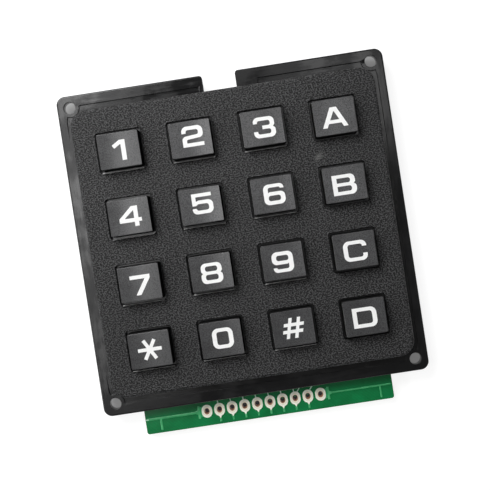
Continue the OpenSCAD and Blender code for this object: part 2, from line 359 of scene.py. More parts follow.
def raiseLeftChannel(housing):
    # along the left side the flange runs up to the panel
    for way in (-1, 1):
        editAll(housing)
        bpy.ops.mesh.bisect(plane_co=(0, way * housingLook["leftRun"], 0), plane_no=(0, 1, 0))
        leaveEdit()
    for vertex in housing.data.vertices:
        place = vertex.co
        onFloor = abs(place.z - housingLook["channelFloor"]) < meshCare["weld"]
        inRun = abs(place.y) < housingLook["leftRun"] + meshCare["weld"]
        if onFloor and inRun and place.x < -housingLook["wallX"]:
            place.z = housingLook["flangeTop"]
    editAll(housing)
    bpy.ops.mesh.remove_doubles(threshold=meshCare["weld"])
    bpy.ops.mesh.dissolve_limited(angle_limit=meshCare["flatAngle"])
    leaveEdit()


def makeHousing():
    housing = copyOfNode("housing", "mouldedHousing")
    raiseLeftChannel(housing)

    def shows(point):
        outside = abs(point.x) > housingLook["hollowX"] or abs(point.y) > housingLook["hollowY"]
        onTop = point.z > panelTop - housingLook["panelThickness"] + housingLook["edge"]
        return outside or onTop or point.z < boardLow.z - meshCare["weld"]

    lipTop = panelTop + housingLook["lipHeight"] / 2
    roundSharpEdges(housing, housingLook["lipEdge"], lambda point: point.z > lipTop, 3)
    roundSharpEdges(housing, housingLook["edge"], lambda point: shows(point) and point.z < lipTop)

    def facesKey(centre, normal):
        key = min(keyCentres.values(), key=lambda middle: (middle - centre).length)
        away = (key - centre).to_2d()
        return away.length < housingLook["openingReach"] and away.dot(normal.to_2d()) > 0

    grained, smooth, glinting, shaded = range(4)

    def lookOf(centre, normal):
        if normal.z < housingLook["wallNormal"]:
            # painted shade: walls below a key lie in its shadow and get a dull dark copy of the plastic
            return shaded if normal.y > housingLook["shadedNormal"] and facesKey(centre, normal) else smooth
        if centre.z < panelTop - housingLook["edgeRound"]:
            return smooth
        if normal.z > housingLook["topNormal"] or not facesKey(centre, normal):
            return grained
        # painted highlight: lip edges that face the light, left of a cut-off, get a pale tone in place of a
        # glint
        wearAndLight = normal.y > housingLook["glintNormal"] + housingLook["glintTurn"] * abs(normal.x)
        return glinting if wearAndLight and centre.x < housingLook["glintTo"] else smooth

    # painted highlight: pale tones for the lit lip edges
    paintedLipGlint = filmedMaterial("paintedLipGlint", tones=(tone(150, 150, 150), tone(205, 205, 204)), **glintLook)
    paintFaces(housing, [panelMaterial(), smoothPlastic, paintedLipGlint, gapShadePlastic], lookOf)
    smoothFaces(housing)
    settle(housing, "base", "housing_plastic", "housing")


smoothPlastic = smoothHousingMaterial()
# painted shade: a dull dark copy of the plastic for faces that lie in the gaps' shade
gapShadePlastic = filmedMaterial("gapShadePlastic", 1.6 * mm, (tone(22, 22, 22), tone(32, 32, 32)),
               (0.6, 0.75), IOR=1.15)
makeHousing()
print("housing done")


# Keycaps

keyLook = {
    "edge": 0.13 * mm,
    "dish": 0.12 * mm,
    "topWidth": 8.0 * mm,
    "sideNormal": 0.12,
    "leftNormal": -0.5,
    "litY": (-20 * mm, 8 * mm),
    "litX": (-24 * mm, -6 * mm),
}


def keyMaterial():
    material, tree, shader, place = newMaterial("keyPlastic", IOR=1.5)
    patch = useGroup(tree, unevenFilm, Place=place, Size=3.2 * mm)["Patch"]
    smear = noise(tree, stretched(tree, place, (0.2, 1.0, 1.0), 35), 0.8 * mm, 4.0).outputs[0]
    fine = noise(tree, place, 0.16 * mm, 2.0).outputs[0]
    film = maths(tree, "ADD", maths(tree, "MULTIPLY", smear, 0.5), maths(tree, "MULTIPLY", patch, 0.5))
    wearAndLight = blendColours(tree, film, tone(64, 64, 65), tone(77, 77, 78))
    # painted light: the key tone lightens towards the upper left, standing in for the lamp's fall-off
    litKeyTone = blendColours(tree, film, tone(79, 79, 80), tone(92, 92, 93))
    split = addNode(tree, "ShaderNodeSeparateXYZ", {0: place}).outputs
    towardLamp = maths(tree, "MULTIPLY", spread(tree, split[1], *keyLook["litY"]),
                  spread(tree, split[0], *keyLook["litX"], 0.2, 1.0))
    wearAndLight = blendColours(tree, towardLamp, wearAndLight, litKeyTone)
    speck = spread(tree, fine, 0.62, 0.3, 0.0, 0.7)
    tree.links.new(blendColours(tree, speck, wearAndLight, tone(34, 34, 35)), shader.inputs["Base Color"])
    tree.links.new(spread(tree, film, 0.2, 0.8, 0.16, 0.2), shader.inputs["Roughness"])
    tree.links.new(bump(tree, fine, 0.15, 0.01 * mm), shader.inputs["Normal"])
    return material


def makeKeycaps():
    master = copyOfNode("key_1", "keycapMaster")
    roundSharpEdges(master, keyLook["edge"], lambda point: point.z > housingHigh.z, 3)

    plain, glinting, side = range(3)

    def lookOf(centre, normal):
        # painted shade: the key's sides, down in the gap, get the dull dark plastic
        if normal.z < keyLook["sideNormal"]:
            return side
        # painted highlight: left-facing edge bevels get a pale tone in place of a glint
        return glinting if normal.x < keyLook["leftNormal"] else plain

    # painted highlight: pale tones for the lit left edges
    keyGlintMaterial = filmedMaterial("paintedKeyEdgeGlint", tones=(tone(126, 126, 126), tone(176, 176, 175)),
                                **glintLook)
    paintFaces(master, [keyMaterial(), keyGlintMaterial, gapShadePlastic], lookOf)
    smoothFaces(master)
    for name in keyNames:
        cap = bpy.data.objects.new("keycap_" + name, master.data.copy())
        bpy.context.scene.collection.objects.link(cap)
        editAll(cap)
        bpy.ops.transform.translate(value=keyCentres[name] - keyCentres["1"])
        leaveEdit()
        settle(cap, "key_" + name, "key_plastic", "key_" + name)
    bpy.data.objects.remove(master)


makeKeycaps()
print("keycaps done:", len(keyNames))


# Legends: outlines in millimetres round each legend's own middle, as (x, y, corner radius)

def ring(left, bottom, right, top, leftRound, rightRound):
    return [(left, bottom, leftRound), (right, bottom, rightRound),
            (right, top, rightRound), (left, top, leftRound)]


def starOutline(reachX, reachY, half):
    points = []
    for arm in range(6):
        angle = math.radians(60 * arm)
        reach = reachX if arm % 3 == 0 else reachY
        out, side = Vector((math.cos(angle), math.sin(angle))), Vector((-math.sin(angle), math.cos(angle)))
        notch = angle + math.radians(30)
        points += [tuple(out * reach - side * half) + (0.05,), tuple(out * reach + side * half) + (0.05,),
                   (2 * half * math.cos(notch), 2 * half * math.sin(notch), 0.05)]
    return points


def hashOutlines(slant, barX, barY, half, reachX, reachY):
    inX, outX, inY, outY = barX - half, barX + half, barY - half, barY + half
    right = [(inX, -reachY), (outX, -reachY), (outX, -outY), (reachX, -outY), (reachX, -inY), (outX, -inY),
             (outX, inY), (reachX, inY), (reachX, outY), (outX, outY), (outX, reachY), (inX, reachY),
             (inX, outY)]
    outer = right + [(-inX, outY)] + [(-x, -y) for x, y in right] + [(inX, -outY)]
    inner = [(-inX, -inY), (inX, -inY), (inX, inY), (-inX, inY)]
    return [[(x + slant * y, y, 0.04) for x, y in loop] for loop in (outer, inner)]


sixOutlines = [
    [(1.95, 1.03, 0.05), (1.95, 1.98, 0.85), (-2.05, 1.98, 1.05), (-2.05, -2.0, 1.0), (2.06, -2.0, 1.0),
     (2.06, 0.47, 0.9), (-0.85, 0.47, 0.25), (-1.14, 0.3, 0.0), (-1.14, 1.33, 0.4), (1.12, 1.33, 0.3),
     (1.24, 1.03, 0.05)],
    ring(-1.16, -1.28, 1.18, -0.24, 0.42, 0.42),
]
legendLook = {
    "thickness": 0.03 * mm,
    "sink": 0.02 * mm,
    "arcSteps": 6,
    "drapeCuts": 7,
    "drapeStep": 0.75 * mm,
    "shapes": {
        "1": [[(0.4, -1.97, 0.05), (1.28, -1.97, 0.05), (1.28, 1.97, 0.05), (0.2, 1.97, 0.1),
               (-1.3, 1.05, 0.05),
               (-0.9, 0.42, 0.05), (0.4, 1.2, 0.05)]],
        "2": [[(-2.05, -1.98, 0.05), (2.06, -1.98, 0.05), (2.06, -1.27, 0.05), (-1.2, -1.27, 0.1),
               (-1.2, -0.58, 0.3), (2.04, -0.3, 0.8), (2.04, 2.0, 1.0), (-2.06, 2.0, 1.0),
               (-2.06, 0.66, 0.08),
               (-1.26, 0.66, 0.05), (-1.18, 1.28, 0.4), (1.14, 1.28, 0.4), (1.14, 0.32, 0.35),
               (-2.05, 0.05, 0.75)]],
        "3": [[(-2.08, 0.8, 0.08), (-2.08, 2.0, 0.95), (2.0, 2.0, 0.95), (2.0, 0.28, 0.55), (1.62, 0.0, 0.08),
               (2.12, -0.28, 0.55), (2.12, -2.0, 0.95), (-2.1, -2.0, 0.95), (-2.1, -0.72, 0.08),
               (-1.32, -0.72, 0.05), (-1.25, -1.3, 0.4), (1.22, -1.3, 0.4), (1.22, -0.36, 0.35),
               (-0.38, -0.36, 0.08), (-0.38, 0.34, 0.08), (1.15, 0.34, 0.35), (1.15, 1.3, 0.4),
               (-1.25, 1.3, 0.35), (-1.32, 0.8, 0.05)]],
        "a": [[(-2.48, -1.95, 0.05), (-1.6, -1.95, 0.05), (-1.22, -1.2, 0.04), (1.2, -1.2, 0.04),
               (1.58, -1.95, 0.05), (2.48, -1.95, 0.05), (0.56, 1.95, 0.1), (-0.68, 1.95, 0.1)],
              [(-0.9, -0.52, 0.05), (0.87, -0.52, 0.05), (-0.03, 1.28, 0.1)]],
        "4": [[(-2.16, -1.12, 0.05), (-2.16, -0.3, 0.15), (0.38, 1.97, 0.1), (1.56, 1.97, 0.08),
               (1.56, -0.38, 0.05), (2.16, -0.38, 0.05), (2.16, -1.12, 0.05), (1.56, -1.12, 0.05),
               (1.56, -1.96, 0.05), (0.72, -1.96, 0.05), (0.72, -1.12, 0.05)],
              [(-1.2, -0.38, 0.05), (0.72, -0.38, 0.05), (0.72, 1.18, 0.05)]],
        "5": [[(1.88, 1.98, 0.05), (-1.97, 1.98, 0.05), (-1.97, -0.36, 0.12), (-1.25, -0.36, 0.05),
               (-0.85, -0.07, 0.2), (1.2, -0.07, 0.5), (1.2, -1.32, 0.45), (-1.0, -1.32, 0.35),
               (-1.3, -0.88, 0.05), (-2.03, -0.88, 0.12), (-2.03, -2.0, 0.9), (2.05, -2.0, 1.0),
               (2.05, 0.63, 0.95), (-0.75, 0.63, 0.2), (-1.2, 0.45, 0.0), (-1.2, 1.3, 0.08),
               (1.88, 1.3, 0.05)]],
        "6": sixOutlines,
        "b": [[(-2.28, 1.96, 0.05), (-2.28, -1.96, 0.05), (2.3, -1.96, 1.0), (2.3, -0.15, 0.6),
               (1.72, 0.08, 0.08),
               (2.15, 0.32, 0.5), (2.15, 1.96, 0.95)],
              ring(-1.4, 0.36, 1.2, 1.3, 0.06, 0.42), ring(-1.4, -1.28, 1.34, -0.28, 0.06, 0.42)],
        "7": [[(-1.95, 1.93, 0.05), (1.96, 1.93, 0.05), (1.96, 1.22, 0.25), (-0.12, -1.93, 0.05),
               (-1.08, -1.93, 0.05), (0.95, 1.2, 0.05), (-1.95, 1.2, 0.05)]],
        "8": [[(-2.02, 1.98, 0.95), (2.02, 1.98, 0.95), (2.02, 0.3, 0.5), (1.68, 0.03, 0.08),
               (2.08, -0.25, 0.5),
               (2.08, -1.98, 0.95), (-2.08, -1.98, 0.95), (-2.08, -0.25, 0.5), (-1.68, 0.03, 0.08),
               (-2.02, 0.3, 0.5)],
              ring(-1.2, 0.36, 1.16, 1.36, 0.42, 0.42), ring(-1.24, -1.32, 1.2, -0.26, 0.42, 0.42)],
        "9": [[(-x, -y, r) for x, y, r in loop] for loop in sixOutlines],
        "c": [[(2.24, 0.75, 0.05), (2.24, 1.96, 1.05), (-2.27, 1.96, 1.15), (-2.27, -1.97, 1.15),
               (2.28, -1.97, 1.05), (2.28, -0.6, 0.05), (1.44, -0.6, 0.05), (1.44, -1.28, 0.4),
               (-1.4, -1.28, 0.45),
               (-1.4, 1.27, 0.45), (1.38, 1.27, 0.4), (1.38, 0.75, 0.05)]],
        "star": [starOutline(2.32, 2.16, 0.34)],
        "0": [ring(-2.02, -1.97, 2.02, 1.97, 1.15, 1.15), ring(-1.16, -1.27, 1.16, 1.27, 0.45, 0.45)],
        "hash": hashOutlines(0.235, 0.82, 0.66, 0.32, 1.95, 1.99),
        "d": [ring(-2.33, -1.94, 2.33, 1.94, 0.05, 1.15), ring(-1.48, -1.23, 1.46, 1.23, 0.06, 0.5)],
    },
    # where each one was printed on its key
    "shift": {
        "1": (0.05, -0.05), "2": (0.45, 0.45), "3": (0.35, 0.05), "a": (-0.05, -0.1),
        "4": (0.2, 0.0), "5": (0.35, 0.4), "6": (0.3, 0.05), "b": (-0.1, -0.2),
        "7": (0.15, -0.35), "8": (0.1, -0.15), "9": (-0.05, -0.1), "c": (0.05, -0.1),
        "star": (0.0, 0.05), "0": (0.3, 0.1), "hash": (0.05, 0.0), "d": (-0.05, -0.05),
    },
}


def roundedLoop(corners):
    points = []
    for i, (x, y, radius) in enumerate(corners):
        corner = Vector((x, y))
        back = Vector(corners[i - 1][:2]) - corner
        ahead = Vector(corners[(i + 1) % len(corners)][:2]) - corner
        if radius == 0:
            points.append(corner)
            continue
        half = back.angle(ahead) / 2
        middle = corner + (back.normalized() + ahead.normalized()).normalized() * radius / math.sin(half)
        reach = radius / math.tan(half)
        first = corner + back.normalized() * reach - middle
        last = corner + ahead.normalized() * reach - middle
        for step in range(legendLook["arcSteps"] + 1):
            share = step / legendLook["arcSteps"]
            points.append(middle + first.lerp(last, share).normalized() * radius)
    return points


def makeLegend(name, ink):
    curve = bpy.data.curves.new("legend_" + name, "CURVE")
    curve.dimensions = "2D"
    curve.fill_mode = "BOTH"
    curve.extrude = legendLook["thickness"]
    for corners in legendLook["shapes"][name]:
        outline = roundedLoop(corners)
        spline = curve.splines.new("POLY")
        spline.points.add(len(outline) - 1)
        spline.use_cyclic_u = True
        for point, place in zip(spline.points, outline):
            point.co = (place.x * mm, place.y * mm, 0, 1)
    legend = bpy.data.objects.new("legend_" + name, curve)
    bpy.context.scene.collection.objects.link(legend)
    pickOnly(legend)
    bpy.ops.object.convert(target="MESH")
    shiftX, shiftY = legendLook["shift"][name]
    editAll(legend)
    bpy.ops.mesh.remove_doubles(threshold=meshCare["weld"])
    bpy.ops.transform.translate(value=(shiftX * mm, shiftY * mm, 0))
    cuts = legendLook["drapeCuts"]
    for cut in range(cuts):
        bpy.ops.mesh.select_all(action="SELECT")
        across = (cut - (cuts - 1) / 2) * legendLook["drapeStep"]
        bpy.ops.mesh.bisect(plane_co=(across, 0, 0), plane_no=(1, 0, 0))
    leaveEdit()
    dishRadius = ((keyLook["topWidth"] / 2) ** 2 + keyLook["dish"] ** 2) / (2 * keyLook["dish"])
    for vertex in legend.data.vertices:  # lay it in the hollow of the key
        vertex.co.z += vertex.co.x ** 2 / (2 * dishRadius)
    level = keyHigh.z - keyLook["dish"] + legendLook["thickness"] - legendLook["sink"]
    centre = keyCentres[name]
    editAll(legend)
    bpy.ops.transform.translate(value=(centre.x, centre.y, level))
    leaveEdit()
    legend.data.materials.append(ink)
    smoothFaces(legend)
    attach(legend, "key_" + name)


legendInk = filmedMaterial("legendInk", 0.7 * mm,
                           (tone(246, 246, 245), tone(252, 252, 251)), (0.5, 0.62), IOR=1.45)
for keyName in keyNames:
    makeLegend(keyName, legendInk)
print("legends done:", len(keyNames))


# Circuit board

boardLook = {"edge": 0.05 * mm}


def maskMaterial():
    material, tree, shader, place = newMaterial("solderMask", IOR=1.5)
    patch = useGroup(tree, unevenFilm, Place=place, Size=5 * mm)["Patch"]
    weave = addNode(tree, "ShaderNodeTexWave", {"Vector": place, "Scale": 1 / (1.1 * mm), "Distortion": 1.5},
                    bands_direction="DIAGONAL").outputs[1]
    fine = noise(tree, place, 0.25 * mm, 3.0).outputs[0]
    shade = maths(tree, "ADD", maths(tree, "MULTIPLY", patch, 0.8), maths(tree, "MULTIPLY", weave, 0.2))
    colour = blendColours(tree, shade, tone(5, 104, 54), tone(10, 124, 68))
    tree.links.new(colour, shader.inputs["Base Color"])
    tree.links.new(spread(tree, fine, 0.3, 0.7, 0.1, 0.14), shader.inputs["Roughness"])
    tree.links.new(bump(tree, fine, 0.1, 0.02 * mm), shader.inputs["Normal"])
    return material


def laminateMaterial():
    material, tree, shader, place = newMaterial("laminateEdge", IOR=1.5)
    fibre = noise(tree, stretched(tree, place, (0.15, 0.15, 1.0)), 0.12 * mm, 4.0, 0.65).outputs[0]
    colour = blendColours(tree, spread(tree, fibre, 0.35, 0.65), tone(112, 112, 58), tone(168, 160, 98))
    tree.links.new(colour, shader.inputs["Base Color"])
    tree.links.new(spread(tree, fibre, 0.3, 0.7, 0.6, 0.8), shader.inputs["Roughness"])
    tree.links.new(bump(tree, fibre, 0.4, 0.03 * mm), shader.inputs["Normal"])
    return material


def makeBoard():
    board = copyOfNode("circuit_board", "circuitBoard")
    roundSharpEdges(board, boardLook["edge"], lambda point: True)
    paintFaces(board, [maskMaterial(), laminateMaterial()],
               lambda centre, normal: 0 if abs(normal.z) > meshCare["levelNormal"] else 1)
    smoothFaces(board)
    settle(board, "base", "board_laminate", "circuit_board")


makeBoard()
print("board done")


# Solder pads

padLook = {
    "count": 10,
    "edge": 0.04 * mm,
    "pitch": 2.54 * mm,
    "holeRadius": 0.575 * mm,
    "tinnedHole": 0.46 * mm,
    "squeeze": 0.85,
    "fluxEnd": (0.7 * mm, 0.82 * mm),
    "fluxLine": 0.78 * mm,
    "lineHalf": 0.09 * mm,
    "brownEnd": (0.6 * mm, 0.48 * mm),
    "halfLength": 1.3 * mm,
}
padRowX = (padsLow.x + padsHigh.x) / 2
padRowY = padsHigh.y - padLook["halfLength"]
padXs = [padRowX + (i - (padLook["count"] - 1) / 2) * padLook["pitch"] for i in range(padLook["count"])]


def padDistance(tree, place):
    # distance from the nearest pad's axis, repeated along the row
    split = addNode(tree, "ShaderNodeSeparateXYZ", {0: place})
    steps = maths(tree, "DIVIDE", maths(tree, "SUBTRACT", split.outputs[0], padXs[0]), padLook["pitch"])
    part = maths(tree, "SUBTRACT", steps, maths(tree, "ROUND", steps))
    offX = maths(tree, "MULTIPLY", part, padLook["pitch"])
    offY = maths(tree, "MULTIPLY", maths(tree, "SUBTRACT", split.outputs[1], padRowY), padLook["squeeze"])
    flat = addNode(tree, "ShaderNodeCombineXYZ", {0: offX, 1: offY}).outputs[0]
    return addNode(tree, "ShaderNodeVectorMath", {0: flat}, operation="LENGTH").outputs["Value"]


def tinMaterial():
    material, tree, shader, place = newMaterial("tinnedPad", IOR=1.6)
    apart = padDistance(tree, place)
    patch = useGroup(tree, unevenFilm, Place=place, Size=0.5 * mm)["Patch"]
    rim = blendColours(tree, patch, tone(238, 244, 224), tone(248, 250, 236))
    flux = blendColours(tree, patch, tone(242, 232, 208), tone(250, 242, 222))
    wet = blendColours(tree, spread(tree, apart, *padLook["fluxEnd"]), flux, rim)
    offLine = maths(tree, "ABSOLUTE", maths(tree, "SUBTRACT", apart, padLook["fluxLine"]))
    line = spread(tree, offLine, padLook["lineHalf"], 0.0)
    lined = blendColours(tree, maths(tree, "MULTIPLY", line, 0.2), wet, tone(150, 132, 112))
    # browner towards the hole's edge
    holeBrowned = blendColours(tree, spread(tree, apart, *padLook["brownEnd"]), lined, tone(150, 110, 84))
    tree.links.new(holeBrowned, shader.inputs["Base Color"])
    tree.links.new(spread(tree, patch, 0.0, 1.0, 0.35, 0.5), shader.inputs["Roughness"])
    tree.links.new(bump(tree, patch, 0.2, 0.02 * mm), shader.inputs["Normal"])
    return material


def makePads():
    pads = copyOfNode("solder_pads", "solderPads")

    def padAxis(point):
        return Vector((min(padXs, key=lambda x: abs(x - point.x)), padRowY, point.z))

    for vertex in pads.data.vertices:  # tin narrows the holes
        axis = padAxis(vertex.co)
        if (vertex.co - axis).length < padLook["holeRadius"] + meshCare["weld"]:
            vertex.co = axis.lerp(vertex.co, padLook["tinnedHole"] / padLook["holeRadius"])
    roundSharpEdges(pads, padLook["edge"], lambda point: True)

    def inHole(centre, normal):
        apart = (centre - padAxis(centre)).length
        upright = abs(normal.z) < meshCare["levelNormal"]
        return 1 if apart < padLook["tinnedHole"] + padLook["edge"] and upright else 0

    plated = filmedMaterial("platedHole", 0.3 * mm, (tone(176, 124, 92), tone(206, 156, 120)), (0.5, 0.7),
                            Metallic=0.3)
    paintFaces(pads, [tinMaterial(), plated], inHole)
    smoothFaces(pads)
    settle(pads, "base", "tin", "solder_pads")


makePads()
print("pads done:", len(padXs))


# Masked traces on the board

traceLook = {
    "height": 0.05 * mm,
    "left": {"line": 0.45 * mm, "branch": 0.42 * mm, "branchPlace": 3.1 * mm, "edgeGap": 0.3 * mm},
    "right": {"line": 0.3 * mm, "branch": 0.32 * mm, "branchPlace": 2.5 * mm, "edgeGap": 0.4 * mm},
    "bar": 0.45 * mm,
    "barReach": 1.25 * mm,
    "barGap": 1.58 * mm,
    "forkReach": 2.3 * mm,
    "forkSpread": 0.32 * mm,
    "pour": 2.2 * mm,
    "pourEnd": 0.8 * mm,
    "bareGlintTip": (0.15 * mm, 0.65 * mm, 0.25 * mm),
    "stub": 0.36 * mm,
    "stubEnd": 0.5 * mm,
    "tip": 0.22 * mm,
    "rowLine": 0.4 * mm,
    "lane": 24.3 * mm,
    "laneStep": 0.7 * mm,
    "laneFoot": 30.7 * mm,
    "rowStart": 1.4 * mm,
}


def layTraces(name, routes, width, level, material):
    curve = bpy.data.curves.new(name, "CURVE")
    curve.dimensions = "3D"
    curve.bevel_depth = width / 2
    curve.bevel_resolution = 3
    curve.use_fill_caps = True
    for route in routes:
        spline = curve.splines.new("POLY")
        spline.points.add(len(route) - 1)
        for point, (x, y) in zip(spline.points, route):
            point.co = (x, y, 0, 1)
    traces = bpy.data.objects.new(name, curve)
    bpy.context.scene.collection.objects.link(traces)
    pickOnly(traces)
    bpy.ops.object.convert(target="MESH")
    editAll(traces)
    bpy.ops.transform.resize(value=(1, 1, 2 * traceLook["height"] / width), center_override=(0, 0, 0))
    bpy.ops.transform.translate(value=(0, 0, level))
    bpy.ops.mesh.remove_doubles(threshold=meshCare["weld"])
    bpy.ops.mesh.normals_make_consistent(inside=False)
    leaveEdit()
    traces.data.materials.append(material)
    smoothFaces(traces)
    settle(traces, "base", "board_laminate")


def boardTabEdges():
    xs = [v.co.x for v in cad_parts["circuit_board"].data.vertices if v.co.y < housingLow.y]
    return min(xs), max(xs)


def layEndTraces(side, edge, sign, pad, material, pour):
    look = traceLook[side]
    bar, fork = pad - sign * traceLook["barGap"], pad - sign * traceLook["forkReach"]
    branch = edge + sign * look["branchPlace"]
    lines = [[(edge + sign * look["edgeGap"], padRowY), (bar, padRowY)]]
    lines += [[(fork, padRowY), (bar, padRowY + way * traceLook["forkSpread"])] for way in (-1, 1)]
    layTraces(side + "Line", lines, look["line"], boardHigh.z, material)
    pourEnd = pad - sign * traceLook["pourEnd"]
    layTraces(side + "Pour", [[(bar, padRowY), (pourEnd, padRowY)]], traceLook["pour"],
              boardHigh.z - traceLook["height"] / 4, pour)
    layTraces(side + "Branch", [[(branch, padRowY), (branch, boardLow.y + traceLook["stubEnd"])]],
              look["branch"], boardHigh.z, material)
    barEnds = [(bar, padRowY + way * traceLook["barReach"]) for way in (-1, 1)]
    layTraces(side + "Bar", [barEnds], traceLook["bar"], boardHigh.z, material)


def layPadTraces(material, bareAndGlint):
    padTop, padFoot = padRowY + padLook["halfLength"], padRowY - padLook["halfLength"]
    stubs = [[(x, padFoot), (x, boardLow.y + traceLook["stubEnd"])] for x in padXs[1:-1]]
    layTraces("padStubs", stubs, traceLook["stub"], boardHigh.z, material)
    slip = traceLook["tip"]
    tips = [[(x - slip / 2, padTop - slip), (x - slip, housingLow.y)] for x in padXs[1:-2]]
    tips += [[(x + 2 * slip, padTop - slip), (x + 6 * slip, housingLow.y)] for x in padXs[-3:-1]]
    layTraces("padTips", tips, traceLook["tip"], boardHigh.z, bareAndGlint)
    # painted highlight: a pale patch at the left end of the line stands in for a glint on bare metal
    start, end, width = traceLook["bareGlintTip"]
    layTraces("bareGlintTip", [[(tabEdges[0] + start, padRowY), (tabEdges[0] + end, padRowY)]], width,
              boardHigh.z + traceLook["height"] / 4, bareAndGlint)


def layBackTraces(material):
    # each row of keys runs to the right, down its own lane and back to its pad
    rows = []
    for row, name in enumerate(("1", "4", "7", "star")):
        y = keyCentres[name].y
        lane = traceLook["lane"] - row * traceLook["laneStep"]
        foot = -traceLook["laneFoot"] + row * traceLook["laneStep"]
        pad = padXs[-2 - row]
        rows.append([(keyCentres[name].x - traceLook["rowStart"], y), (lane, y), (lane, foot), (pad, foot),
                     (pad, padRowY)])
    layTraces("backRows", rows, traceLook["rowLine"], boardLow.z, material)


copperLook = {"size": 2 * mm, "roughness": (0.3, 0.42), "IOR": 1.5}
maskedCopper = filmedMaterial("maskedCopper", tones=(tone(50, 158, 96), tone(78, 180, 118)), **copperLook)
maskedPour = filmedMaterial("maskedPour", tones=(tone(14, 146, 84), tone(26, 158, 94)), **copperLook)
# pale green-white: bare metal, and partly a painted glint
bareMetalAndGlint = filmedMaterial("bareMetalAndGlint", tones=(tone(176, 222, 196), tone(208, 240, 220)), **copperLook)
tabEdges = boardTabEdges()
layEndTraces("left", tabEdges[0], 1, padXs[0], maskedCopper, maskedPour)
layEndTraces("right", tabEdges[1], -1, padXs[-1], maskedCopper, maskedPour)
layPadTraces(maskedCopper, bareMetalAndGlint)
layBackTraces(maskedCopper)
print("traces done")


# Rubber mat, pills and contacts, behind the keys

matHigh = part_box("rubber_mat")[1]
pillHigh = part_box("pill_1")[1]
matLook = {
    "thickness": 0.8 * mm,
    "holeRadius": 3.3 * mm,
    "footRadius": 3.9 * mm,
    "cutRadius": 4.2 * mm,
    "plugRadius": 2.4 * mm,
    "skirt": 0.6 * mm,
    "steps": 48,
}


def softMaterial(name, dark, light, roughness):
    material, tree, shader, place = newMaterial(name, IOR=1.41)
    patch = useGroup(tree, unevenFilm, Place=place, Size=2 * mm)["Patch"]
    fine = noise(tree, place, 0.12 * mm, 3.0).outputs[0]
    tree.links.new(blendColours(tree, patch, dark, light), shader.inputs["Base Color"])
    tree.links.new(spread(tree, fine, 0.3, 0.7, roughness, roughness + 0.15), shader.inputs["Roughness"])
    tree.links.new(bump(tree, fine, 0.2, 0.01 * mm), shader.inputs["Normal"])
    return material


def makeMatSheet(rubber):
    sheet = copyOfNode("rubber_mat", "matSheet")
    bpy.ops.object.select_all(action="DESELECT")
    cutters = []
    for name in keyNames:
        centre = keyCentres[name]
        bpy.ops.mesh.primitive_cylinder_add(vertices=matLook["steps"], radius=matLook["cutRadius"],
                                            depth=4 * matHigh.z, location=(centre.x, centre.y, 0))
        cutters.append(bpy.context.object)
    for cutter in cutters:
        cutter.select_set(True)
    bpy.ops.object.join()
    cutter = bpy.context.object
    applyModifier(sheet, "BOOLEAN", operation="DIFFERENCE", solver="EXACT", object=cutter)
    bpy.data.objects.remove(cutter)
    paintFaces(sheet, [rubber], lambda centre, normal: 0)
    smoothFaces(sheet)
    settle(sheet, "base", "silicone", "rubber_mat")


def domeProfile():
    top, plug, edge = matHigh.z, pillHigh.z, matLook["skirt"] / 2
    hole, foot, cut = matLook["holeRadius"], matLook["footRadius"], matLook["cutRadius"]
    stem, sheet = matLook["plugRadius"], matLook["thickness"]
    return [(0, plug), (stem - edge, plug), (hole, sheet / 2), (hole, 0), (cut, 0), (cut, sheet),
               (foot, sheet),
            (stem, plug + edge), (stem, top), (0, top)]


def makeDomes(rubber):
    profile = domeProfile()
    for name in keyNames:
        centre = keyCentres[name]
        mesh = bpy.data.meshes.new("dome_" + name)
        mesh.from_pydata([(centre.x + r, centre.y, z) for r, z in profile],
                         [(i, i + 1) for i in range(len(profile) - 1)], [])
        dome = bpy.data.objects.new("dome_" + name, mesh)
        bpy.context.scene.collection.objects.link(dome)
        editAll(dome)
        bpy.ops.mesh.spin(steps=matLook["steps"], angle=2 * math.pi, center=(centre.x, centre.y, 0),
                          axis=(0, 0, 1))
        bpy.ops.mesh.select_all(action="SELECT")
        bpy.ops.mesh.remove_doubles(threshold=meshCare["weld"])
        bpy.ops.mesh.normals_make_consistent(inside=False)
        leaveEdit()
        paintFaces(dome, [rubber], lambda centre, normal: 0)
        smoothFaces(dome)
        settle(dome, "base", "silicone", "rubber_mat")
        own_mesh(dome)


def dressCarbon():
    ink = softMaterial("carbonInk", tone(22, 22, 23), tone(34, 34, 35), 0.6)
    pill = softMaterial("carbonRubber", tone(18, 18, 18), tone(28, 28, 28), 0.7)
    for name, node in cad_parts.items():
        if name == "carbon_contacts" or name.startswith("pill_"):
            node.data.materials.clear()
            node.data.materials.append(ink if name == "carbon_contacts" else pill)


greyRubber = softMaterial("greySilicone", tone(128, 130, 134), tone(146, 148, 152), 0.5)
makeMatSheet(greyRubber)
makeDomes(greyRubber)
dressCarbon()
print("mat, domes, pills and contacts done")


# Stage, light and camera

